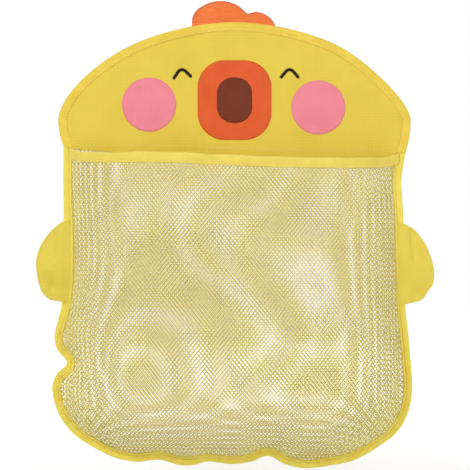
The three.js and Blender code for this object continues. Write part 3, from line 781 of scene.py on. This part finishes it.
def softbox(name, place, size, watts):
    data = bpy.data.lights.new(name, "AREA")
    data.shape, data.size, data.energy = "DISK", size, watts
    x, y, z = np.array(place) - AIM
    placed(name, data, place, (math.atan2(math.hypot(x, y), z), 0, math.atan2(x, -y)))


softbox("key", (-1.1, -1.5, 0.9), 0.9, 15)
softbox("fill", (1.5, -1.3, 0.2), 1.2, 8.8)
softbox("front", (-0.25, -1.9, -0.45), 0.9, 8.4)
softbox("rear", (0.6, 1.6, 0.9), 1.2, 12)

floor_mesh = bpy.data.meshes.new("floor")
corners = [(x * FLOOR_HALF, y * FLOOR_HALF, FLOOR_Z) for x, y in ((-1, -1), (1, -1), (1, 1), (-1, 1))]
floor_mesh.from_pydata(corners, [], [(0, 1, 2, 3)])
floor = placed("floor", floor_mesh)
floor_paint = bpy.data.materials.new("floor_paint")
floor_paint.use_nodes = True
paint = Nodes(floor_paint.node_tree)
paint.tree.nodes.remove(paint.tree.nodes["Principled BSDF"])
matt = paint.feed(paint.node("ShaderNodeBsdfDiffuse"), Color=(0.85, 0.85, 0.85, 1))
near = paint.node("ShaderNodeTexGradient", gradient_type="SPHERICAL")
paint.feed(near, Vector=paint.node("ShaderNodeTexCoord").outputs["Object"])
# The floor glows less near the object, to keep its shadow
level = paint.math("MULTIPLY_ADD", near.outputs["Fac"], -0.6, 0.7)
glow = paint.node("ShaderNodeEmission")
paint.feed(glow, Strength=paint.math("MULTIPLY", level, paint.seen_directly()))
both = paint.result(paint.node("ShaderNodeAddShader"), matt.outputs[0], glow.outputs[0])
paint.feed(paint.tree.nodes["Material Output"], Surface=both)
floor_mesh.materials.append(floor_paint)


# Head: two covers, the printed face, and the folded tape round the dome

HEAD_CENTRE = (0.0, -22.0)
hem_end = MOUTH_HALF - TAPE_WIDTH
hem_x = np.linspace(-hem_end, hem_end, 200)
hem_drop = HEM_TUCK * ease((hem_x - TUCK_FROM) / 30) * ease((hem_end - hem_x) / 6)
head_cut = np.vstack([head_edge.inset(COVER_INSET), np.stack([hem_x, hem_z(hem_x) - hem_drop], 1)])
head_cut = resample_loop(head_cut, 1.6)
for name, front, rear in (
    ("front", head_front, lambda x, z: head_front(x, z) + CLOTH),
    ("back", lambda x, z: head_back(x, z) - CLOTH, head_back),
):
    cloth = add_piece(
        f"head_{name}_cloth", *shell(head_cut, HEAD_CENTRE, front, rear, 34, 1.35),
        cover, "cover", "bag", [f"head_{name}_panel"],
    )


def inked(layer):
    """Front and rear of a film of ink, in a layer counted from the cover."""
    return (
        lambda x, z: head_front(x, z) - layer * INK,
        lambda x, z: head_front(x, z) - (layer - 1) * INK + 0.1,
    )


def rounded_box(width, height, corner, count=24):
    turn = np.linspace(0, np.pi / 2, count)
    x, z = width / 2 - corner, height / 2 - corner
    corners = []
    for k, (cx, cz) in enumerate(((x, z), (-x, z), (-x, -z), (x, -z))):
        angle = turn + k * np.pi / 2
        corners.append(np.stack([cx + corner * np.cos(angle), BEAK_Z + cz + corner * np.sin(angle)], 1))
    return resample_loop(np.vstack(corners), 1.5)


def eye_stroke(across_x, tilt):
    """Grid of places over a bent stroke with round ends."""
    cap = EYE_STROKE * np.array([[0.5], [0.46], [0.36], [0.2]])
    arm = np.array(EYE_ARM) * [1, -1]
    arms = np.vstack([arm[::-1] * [-1, 1], [[0, 0]], arm])
    turned = [[math.cos(tilt), math.sin(tilt)], [-math.sin(tilt), math.cos(tilt)]]
    middle = resample(spline(arms @ turned + [across_x, EYE_TOP], 10), 0.35)
    step = heading(middle)
    middle = np.vstack([middle[0] - step[0] * cap, middle, middle[-1] + step[-1] * cap[::-1]])
    run = arc_length(middle)
    radius = EYE_STROKE / 2
    end = np.clip(1 - np.minimum(run, run[-1] - run) / radius, 0, 1)
    half = radius * np.sqrt(np.clip(1 - end**2, 0.01, 1))
    return middle[:, None] + leftward(middle)[:, None] * (half[:, None] * np.linspace(-1, 1, 5))[..., None]


def film(name, mesh, ink, slot):
    add_piece(f"{name}_ink_film", *mesh, ink, slot, "bag", [f"{name}_print"])


film("beak", shell(rounded_box(*BEAK_BOX), (0, BEAK_Z), *inked(1), 16), beak_ink, "beak")
film("mouth", shell(rounded_box(*MOUTH_BOX), (0, BEAK_Z), *inked(2), 10), mouth_ink, "mouth")
circle = np.stack([np.cos(full_turn(120)), np.sin(full_turn(120))], 1)
for name, side in SIDES:
    cheek = CHEEK[side] + CHEEK_RADIUS * circle
    film(f"{name}_cheek", shell(cheek, CHEEK[side], *inked(1), 14), cheek_ink, "cheek")
    stroke = eye_stroke(EYE[side][0], math.radians(EYE[side][1]))
    film(f"{name}_eye", strip(stroke, *inked(1)), eye_ink, "eye")

TAPE_SECTION = np.array([  # inward from the outer fold, and forward
    [8.5, 2.3], [8.35, 2.68], [7.6, 2.78], [7.0, 2.5], [6.4, 2.8], [5.0, 3.0], [3.4, 3.05], [2.0, 2.85],
    [1.0, 2.35], [0.4, 1.6], [0.08, 0.8], [0, 0],
])
TAPE_FOLD = np.array([[8.4, -1.95], [1.6, -1.8], [0.9, 0], [1.6, 1.8], [8.4, 1.95]])
HEAD_STITCH = 7.0  # outline to the stitches, which lie in a groove of the tape
HEAD_GROOVE = 2.5
HEM_STITCH = 5.5

across, off = folded(TAPE_SECTION, TAPE_FOLD).T
head_wave = waver(head_edge.along, 9.3, 0.4)[:, None]
head_pinch = pinch(*head_edge.at.T)
pull = ease((across - 4.5) / 3)
inward = across + 0.22 * head_wave * pull * ease((across - 8) / 0.3)
forward = off + 0.16 * head_wave * pull * np.sign(off)
head_rings = upright(head_edge.across(inward), MID_Y - forward * head_pinch[:, None])
head_tape = add_piece(
    "head_binding_tape", *swept(head_rings), head_weave, "tape", "bag", ["head_binding"],
    woven(head_edge.along, inward, forward),
)

line = head_edge.inset(HEAD_STITCH)
rows = [stitches(upright(line, MID_Y + way * HEAD_GROOVE * head_pinch), [0, way, 0]) for way in (-1, 1)]
add_piece("head_binding_stitches", *joined(*rows), yellow_thread, "tape", "bag")
sewn_x = np.linspace(-156, 156, 300)
sewn_z = hem_z(sewn_x) + HEM_STITCH
for name, depth, way in (("front", head_front, -1), ("back", head_back, 1)):
    hem = np.stack([sewn_x, depth(sewn_x, sewn_z), sewn_z], 1)
    add_piece(f"head_hem_stitches_{name}", *stitches(hem, [0, way, 0]), yellow_thread, "tape", "bag")


# Pocket: tape round the sides and the bottom, the back net, the bulged front net and its mouth band

# Sections of the tape: inward from the outline, and forward, or away from the front net for the front leaf
LEAF = np.array([
    [8.8, 0.5], [8.6, 0.95], [7.9, 1.15], [7.2, 1.2], [6.6, 0.95], [6.0, 1.2], [5.2, 1.3], [4.4, 1.3],
    [3.6, 1.3], [2.8, 1.3], [2.0, 1.25], [1.3, 1.1],
])
BACK_LEAF = np.array([
    [1.0, 1.75], [2.2, 2.0], [3.6, 2.05], [5.2, 2.05], [6.0, 2.0], [6.6, 1.75], [7.2, 1.95], [8.2, 1.8],
    [8.5, 1.4], [8.4, 0.75], [6.6, 0.7], [5.4, 0.5], [4.8, -0.1],
])
FOLD = np.array([[0.55, -1.6], [0.14, -0.8], [0, 0], [0.14, 0.75], [0.5, 1.35]])
INNER_LEAF = np.array([5.4, 6.2, 7.0, 7.8, 8.6])
INNER_DEPTH = 0.35
FRONT_GROOVE = 0.95  # front stitches off the net's middle surface
BACK_GROOVE = 1.75
ROLL_END = 215.0  # the inner edge on the left is rolled over this length

path = Edge(pocket_outline(), 1.6)
drawn = seam_pull(*path.at.T)[:, None]
low = ease((LOW_Z - path.at[:, 1:]) / LOW_FALL)


def leaf_depth(distances):
    """Depth of the front net's middle surface at distances from the outline."""
    flat = path.across(distances)
    return front_y(flat[..., 0], flat[..., 1])


def leaf_frame(distances):
    """Depth and the way outward of the front leaf at distances from the outline."""
    slope = (leaf_depth(distances + 0.4) - leaf_depth(distances - 0.4)) / 0.8
    return leaf_depth(distances), unit(np.stack([slope, -np.ones_like(slope)], -1))


def leaf(distances, thick):
    """Section of the front leaf, drawn inward with the seam."""
    inward = distances + drawn * ease((distances - 1) / 5)
    depth, way = leaf_frame(inward)
    return np.stack([inward + way[..., 0] * thick, depth + way[..., 1] * thick], -1)


def all_along(section):
    return np.broadcast_to(section + [0, MID_Y], (len(path.at), *section.shape))


seam_wave = waver(path.along, 11.0, 1.3)[:, None]
pucker = (0.14 + 0.14 * low) * seam_wave * ease((LEAF[:, 0] - 1) / 3)
rolled = (0.5 + 0.33 * drawn) * ease((ROLL_END - path.along[:, None]) / 25)
thick = LEAF[:, 1] + pucker + rolled * ease((LEAF[:, 0] - 6.6) / 0.8)
around = np.concatenate([
    leaf(LEAF[:, 0], thick), all_along(FOLD), all_along(BACK_LEAF), leaf(INNER_LEAF, -INNER_DEPTH),
], 1)
twist = np.radians(eased(path.along, TAPE_TURN) + 6 * low[:, 0] * waver(path.along, 23, 2.2))
turn = twist[:, None] * ease((SEAM_WIDTH + 1 - around[..., 0]) / 4)
outer, off = around[..., 0] - SEAM_WIDTH, around[..., 1] - MID_Y
inward = SEAM_WIDTH + outer * np.cos(turn) - off * np.sin(turn)
forward = outer * np.sin(turn) + off * np.cos(turn)
pocket_rings = upright(path.across(inward), MID_Y + forward)
# Its tape is painted paler than the head's, standing in for light
pocket_tape = add_piece(
    "pocket_binding_tape", *swept(pocket_rings), pocket_weave_painted_light, "tape", "bag", ["pocket_binding"],
    woven(path.along, inward, forward),
)

stitch_line = SEAM_STITCH + drawn
depth, way = leaf_frame(stitch_line)
depth, way = depth[:, 0], way[:, 0]
lift = upright(path.inward * way[:, :1], way[:, 1])
front_row = stitches(upright(path.inset(stitch_line), depth) + FRONT_GROOVE * lift, lift)
back_row = stitches(upright(path.inset(SEAM_STITCH), MID_Y + BACK_GROOVE), [0, 1, 0])
add_piece("pocket_binding_stitches", *joined(front_row, back_row), yellow_thread, "tape", "bag")


def net(name, body, depth_at, top_z, phase, pull, kept):
    """A diamond net laid over a surface, spaced along the cloth and pulled a little out of true."""
    x = np.linspace(-NET_HALF, NET_HALF, 1409)
    run_x = arc_length(np.stack([x, depth_at(x, np.full_like(x, BELLY_Z))], 1))
    run_x -= np.interp(0, x, run_x)
    z = np.linspace(top_z, BOTTOM_Z, 1240)
    run_z = arc_length(np.stack([z, depth_at(np.zeros_like(z), z)], 1))
    half_wide, half_tall = DIAMOND_WIDE / 2, DIAMOND_TALL / 2
    columns = 2 * int(min(run_x[-1], -run_x[0]) / half_wide / 2)
    steps_x = np.arange(-columns, columns + 1) * half_wide
    steps_z = np.arange(0, run_z[-1], half_tall)
    x, z = np.meshgrid(np.interp(steps_x, run_x, x), np.interp(steps_z, run_z, z))
    shift_x = 1.7 * np.sin(z / 34 + phase) + 1.2 * np.sin((x + 1.3 * z) / 29 + 2 * phase)
    shift_z = 1.6 * np.sin(x / 31 + 1.7 * phase) + 1.1 * np.sin((z - x) / 26 + phase)
    x, z = x + pull * shift_x, z + pull * shift_z
    room, _ = pocket_edge.nearest(x, z)
    mesh = strands(x, depth_at(x, z), z, kept(room, x, z))
    return add_piece(f"{name}_net_strands", *mesh, net_yarn, "net", body, [f"pocket_{name}_net"])


front_net = net(
    "front", None, front_y, -66.0, 0.6, 0.25,
    lambda room, x, z: (room > 5.2 + seam_pull(x, z)) & (z < band_top(x) - 2.0),
)
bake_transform(front_net)

back_net = net(
    "back", "bag", back_y, -60.0, 2.9, 0.5,
    lambda room, x, z: (room > 3.0) & (z < np.minimum(hem_z(x) + 6, MOUTH_Z + 7)),
)

BAND_SECTION = np.array([  # up from the band's lower edge, and forward
    [0, 0.3], [0.2, 0.85], [1.2, 1.05], [1.9, 0.85], [2.6, 1.15], [4.5, 1.35], [7.0, 1.4], [8.8, 1.3],
    [9.6, 0.95], [9.95, 0.45], [10.0, 0],
])
BAND_FOLD = np.array([[0.2, -0.5], [4.5, -0.5], [8.6, -0.45], [9.1, 0], [8.6, 0.45], [4.5, 0.5], [0.2, 0.5]])
BAND_STITCH = [1.9, 0.85]
BAND_LAP = 1.3  # the band's ends stand forward over the tape

up, off = folded(BAND_SECTION, BAND_FOLD).T
ends = [side_at(side, -80.0) - side * 5.4 for _, side in SIDES]
band_x = np.linspace(*ends, 1200)
over_tape = BAND_LAP * ease((np.abs(band_x) - np.abs(np.where(band_x < 0, *ends)) + 7) / 5)
band_path = np.stack([band_x, front_y(band_x, band_top(band_x) - BAND_WIDTH) - over_tape], 1)
band_path = resample(band_path, 1.2)
band_low = band_top(band_path[:, 0]) - BAND_WIDTH
out = -leftward(band_path)
along = arc_length(band_path)
bend = 0.3 * waver(along, 41.0, 0.9)[:, None]
ruffle = 0.12 * waver(along, 8.7, 2.1)[:, None] * ease((4 - up) / 3)
away = off + ruffle * np.sign(off)
flat = band_path[:, None] + out[:, None] * away[..., None]
height = band_low[:, None] + up + bend * (up / BAND_WIDTH)
# Its tape is painted paler, standing in for light on its left end
mouth_band = add_piece(
    "mouth_band_folded", *swept(np.dstack([flat, height])), band_weave_painted_light, "band", nodes=["mouth_band"],
    cloth=woven(along, BAND_WIDTH - up, away),
)
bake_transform(mouth_band)
sewn = np.column_stack([band_path + out * BAND_STITCH[1], band_low + BAND_STITCH[0]])
lift = np.column_stack([out, np.zeros(len(out))])
band_row = add_piece("mouth_band_stitches", *stitches(sewn, lift), yellow_thread, "band")
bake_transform(band_row)


# Wings and comb: two layers sewn together round their edge and turned out

def flap_half(line, x, z):
    """Half thickness near a sewn edge: a rolled rim, then flat cloth."""
    distance = np.sqrt(np.concatenate([square.min(1) for square in squares(x, z, line)]))
    edge = 0.3 + 0.55 * np.sqrt(np.clip(distance / 0.8, 0, 1))
    rim = 0.5 * np.exp(-((distance - 1.3) / 0.9) ** 2)
    return edge + rim + 0.25 * ease((distance - 3) / 10)


def flap(name, mesh, mid, half, row, sewing, paints, slot):
    """The cloth of a flap, and the stitches along a row on both its faces."""
    outline, centre, crowd = mesh
    faces = (lambda x, z: mid(x, z) - half(x, z), lambda x, z: mid(x, z) + half(x, z))
    cloth = add_piece(
        f"{name}_cloth", *shell(outline, centre, *faces, 20, crowd), paints[0], slot, nodes=[name],
    )
    rows = [stitches(upright(row, face(*row.T)), [0, way, 0], *sewing) for face, way in zip(faces, (-1, 1))]
    return cloth, add_piece(f"{name}_stitches", *joined(*rows), paints[1], slot)


def add_wing(name, side):
    top_z = MOUTH_Z - WING_TOP[side]
    seam_top, seam_end = (np.array([side_at(side, z), z]) for z in (top_z, top_z - WING_LENGTH))
    along = seam_end - seam_top
    out = unit(np.array([-side * along[1], side * along[0]]))
    hinge = seam_top + out * HINGE_OUT
    rim = [hinge + out * reach + along * share for reach, share in WING_PROFILE[side]]
    rim = resample(spline(rim, 12), 1.2)
    inner_end = rim[-1] + along * 0.015 - out * WING_ROOT
    inner_start = rim[0] - along * 0.02 - out * WING_ROOT
    root = resample(np.array([rim[-1], inner_end, inner_start, rim[0]]), 1.2)
    inside = np.clip(-((root - hinge) @ out) / WING_ROOT, 0, 1)
    root = root - out * (inside * seam_pull(*root.T))[:, None]
    outline = np.vstack([rim, root[1:-1]])

    def outward(x, z):
        return (x - hinge[0]) * out[0] + (z - hinge[1]) * out[1]

    def mid(x, z):
        reach = outward(x, z)
        drape = 0.3 * np.sin(z / 11 + side)
        for at, down, wide, tall, height in WING_FOLDS[side]:
            drape = drape + height * np.exp(-(((reach - at) / wide) ** 2) - ((top_z - z - down) / tall) ** 2)
        return MID_Y - 0.6 - 2.6 * ease((9 - reach) / 9) - drape * ease((reach - 1) / 6)

    def half(x, z):
        return flap_half(rim, x, z) * (0.55 + 0.45 * ease((outward(x, z) + 7) / 10))

    wing, row = flap(
        f"{name}_wing", (outline, hinge + out * 8 + along * 0.56, 1.9), mid, half,
        beside(rim[4:-3], side * WING_STITCH), (), (flap_cloth, yellow_thread), "cover",
    )
    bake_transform(wing)
    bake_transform(row)


for name, side in SIDES:
    add_wing(name, side)

COMB_CENTRE = np.array([2.0, 52.5])
COMB_ROOT = 4.5  # cloth inside the seam
left_end, right_end = ([x, float(dome_z(x)) + 1] for x in COMB_ENDS)
big, small = ([[x, DOME_TOP + up] for x, up in lobe] for lobe in (BIG_LOBE, SMALL_LOBE))
lobes = np.vstack([spline([left_end] + big, 12)[:-1], spline([big[-1]] + small + [right_end], 12)])
lobes = resample(lobes, 1.2)
root_x = np.linspace(COMB_ENDS[1] - 0.6, COMB_ENDS[0] + 0.6, 60)
root = np.stack([root_x, dome_z(root_x) - COMB_ROOT], 1)
comb, comb_row = flap(
    "comb", (np.vstack([lobes, root]), COMB_CENTRE, 1.7),
    lambda x, z: MID_Y + 0.5 * np.sin(x / 9 + 0.5) * ease((z - 55) / 8),
    lambda x, z: flap_half(lobes, x, z),
    beside(lobes[2:-2], COMB_STITCH), (2.1, 1.9, 0.34), (comb_cloth, orange_thread), "comb",
)
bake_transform(comb)
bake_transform(comb_row)


# Hanging: clear suction cups, bent wire hooks and webbing loops

NECK_Y = -9.2
BEND_Y = -15.2
BEND = 6.0
SHANK = 22.0
TIP_Y = -21.2
HOOK_RING = 5.8
WIRE_RADIUS = 1.3
WIRE_STEP = 0.7
BAR_Z = -26.4  # upper end of the loop's eye
LOOP_BAR = 7.0  # webbing above it
LOOP_HALF = 16.0
LOOP_THICK = 1.5
LOOP_BEVEL = 0.4
EYE_HALF = 6.5
EYE_LONG = 20.0
SEWN_Y = -24.95
SEAM_TOP_Z = -50.4
LOOP_SEWN = 16.0
CUP_PROFILE = [  # out from the cup's middle, and depth
    [0, -1.5], [6, -1.35], [12, -0.75], [17, -0.12], [18.4, 0], [24.4, 0], [24.9, -0.15], [25, -0.45],
    [24.8, -0.8], [22, -1.75], [18.5, -2.75], [15, -3.8], [11.5, -5.05], [8.4, -6.35], [6.2, -7.25],
    [5.0, -7.6], [4.4, -7.75], [4.2, -8.1], [4.2, -10.4], [4.35, -10.75], [5.2, -10.85], [5.95, -11.0],
    [6.2, -11.4], [6.15, -12.4], [5.6, -13.3], [4.2, -13.9], [2.2, -14.25], [0, -14.4],
]


def lathe(profile, x, count=96):
    out, depth = np.array(profile[1:-1]).T[..., None]
    turn = full_turn(count)
    rings = np.stack(np.broadcast_arrays(x + out * np.cos(turn), depth, out * np.sin(turn)), -1)
    points = np.vstack([rings.reshape(-1, 3), [[x, profile[0][1], 0]], [[x, profile[-1][1], 0]]])
    faces = grid_faces(len(rings), count, wrap_cols=True).tolist()
    first, last, end = len(points) - 2, len(points) - 1, (len(rings) - 1) * count
    faces += [[first, k, (k + 1) % count] for k in range(count)]
    faces += [[last, end + (k + 1) % count, end + k] for k in range(count)]
    return points, faces


def wire(points, radius, count=14):
    """A round wire along a curve, its ends rounded off."""
    path = resample(spline(points, 10), WIRE_STEP)
    way = heading(path)
    side = np.zeros_like(path)
    side[0] = unit(np.cross(way[0], [0.3, 0.5, 0.81]))
    for i in range(1, len(path)):
        side[i] = unit(side[i - 1] - way[i] * (side[i - 1] @ way[i]))
    from_end = np.minimum(np.arange(len(path)), np.arange(len(path))[::-1]) * WIRE_STEP
    thick = radius * np.sqrt(np.clip(1 - (1 - from_end / radius).clip(0, 1) ** 2, 0.05, 1))
    return swept(path[:, None] + thick[:, None, None] * round_path(side, np.cross(way, side), count))


def hook_line(x):
    """Round the cup's neck, down the shank and up to the open tip."""
    ring, bend = np.radians(range(-40, 221, 26)), np.radians(range(0, 181, 30))
    shank_top = -(HOOK_RING + SHANK) / 2
    return (
        [[x + HOOK_RING * math.cos(a), NECK_Y, HOOK_RING * math.sin(a)] for a in ring]
        + [[x, NECK_Y, shank_top], [x, NECK_Y, 0.7 * shank_top - 0.3 * SHANK]]
        + [[x, BEND_Y + BEND * math.cos(a), -SHANK - BEND * math.sin(a)] for a in bend]
        + [[x, TIP_Y, -SHANK + 1]]
    )


lean = (SEWN_Y - BEND_Y) / (SEAM_TOP_Z - BAR_Z)
strap_line = spline([
    [BEND_Y + lean * LOOP_BAR, BAR_Z + LOOP_BAR], [BEND_Y, BAR_Z], [SEWN_Y + lean * 6, SEAM_TOP_Z + 6],
    [SEWN_Y, SEAM_TOP_Z - 2], [SEWN_Y, SEAM_TOP_Z - 8], [SEWN_Y, SEAM_TOP_Z - LOOP_SEWN],
], 12)


def strap_y(z):
    return np.interp(-np.asarray(z, float), -strap_line[:, 1], strap_line[:, 0])


def box_corners(half, top, bottom):
    return [[-half, top], [half, top], [half, bottom], [-half, bottom]]


def box_line(half, top, bottom, count=13):
    a, b, c, d = box_corners(half, top, bottom)
    sides = ((a, b, count), (b, c, 2 * count), (c, d, count), (d, a, 2 * count))
    return np.vstack([np.linspace(start, end, steps)[:-1] for start, end, steps in sides])


def loop_mesh(x):
    """Webbing with a bound eye: front and rear faces, a rounded outer edge and a rounded eye."""
    outer = box_line(LOOP_HALF, BAR_Z + LOOP_BAR, SEAM_TOP_Z - LOOP_SEWN)
    eye = box_line(EYE_HALF, BAR_Z, BAR_Z - EYE_LONG)
    inward = unit(eye - outer)
    tuck = LOOP_BEVEL * (1 - math.cos(math.pi / 4))
    bevel = ((0, LOOP_BEVEL), (tuck, tuck), (LOOP_BEVEL, 0))  # in from the edge, and down from the face
    lines = [(outer + inward * share, sunk) for share, sunk in bevel] + [((outer + eye) / 2, 0)]
    lines += [(eye - inward * share, sunk) for share, sunk in bevel[::-1]]
    rows = [upright(line + [x, 0], strap_y(line[:, 1]) - LOOP_THICK / 2 + sunk) for line, sunk in lines]
    back = [np.stack([r[:, 0], 2 * strap_y(r[:, 2]) - r[:, 1], r[:, 2]], 1) for r in rows[::-1]]
    rings = np.array(rows + back)
    faces = grid_faces(len(rings), rings.shape[1], wrap_rows=True, wrap_cols=True).tolist()
    points = rings.reshape(-1, 3)
    return points, faces, np.stack([points[:, 2], points[:, 0] - x + 30, points[:, 1]], 1)


def loop_stitches(x):
    """A sewn box with a cross in it, and a box round the eye, on the wall side."""
    a, b, c, d = box_corners(12.5, SEAM_TOP_Z - 2.5, SEAM_TOP_Z - 13.5)
    e, f, g, h = box_corners(EYE_HALF + 2, BAR_Z + 2, BAR_Z - EYE_LONG - 2)
    rows = []
    for line in ((a, b), (b, c), (c, d), (d, a), (a, c), (b, d), (e, h), (f, g), (e, f), (h, g)):
        flat = resample(np.array(line, float), 0.8)
        path = upright(flat + [x, 0], strap_y(flat[:, 1]) + LOOP_THICK / 2)
        rows.append(stitches(path, [0, 1, 0], 2.4, 1.9, 0.24))
    return joined(*rows)


for name, side in SIDES:
    x = side * CUP_X
    add_piece(f"{name}_cup", *lathe(CUP_PROFILE, x), clear_pvc, "cup", "wall_hooks", [f"{name}_suction_cup"])
    hook = wire(hook_line(x), WIRE_RADIUS)
    add_piece(f"{name}_hook", *hook, wire_steel, "wire", "wall_hooks", [f"{name}_wire_hook"])
    points, faces, weave = loop_mesh(x)
    loop = add_piece(
        f"{name}_loop", points, faces, webbing, "webbing", "bag", [f"{name}_hanging_loop"], weave,
    )
    add_piece(f"{name}_loop_stitches", *loop_stitches(x), yellow_thread, "webbing", "bag")

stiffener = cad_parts["head_stiffener"]
stiffener.data.materials.clear()
stiffener.data.materials.append(foam_sheet)
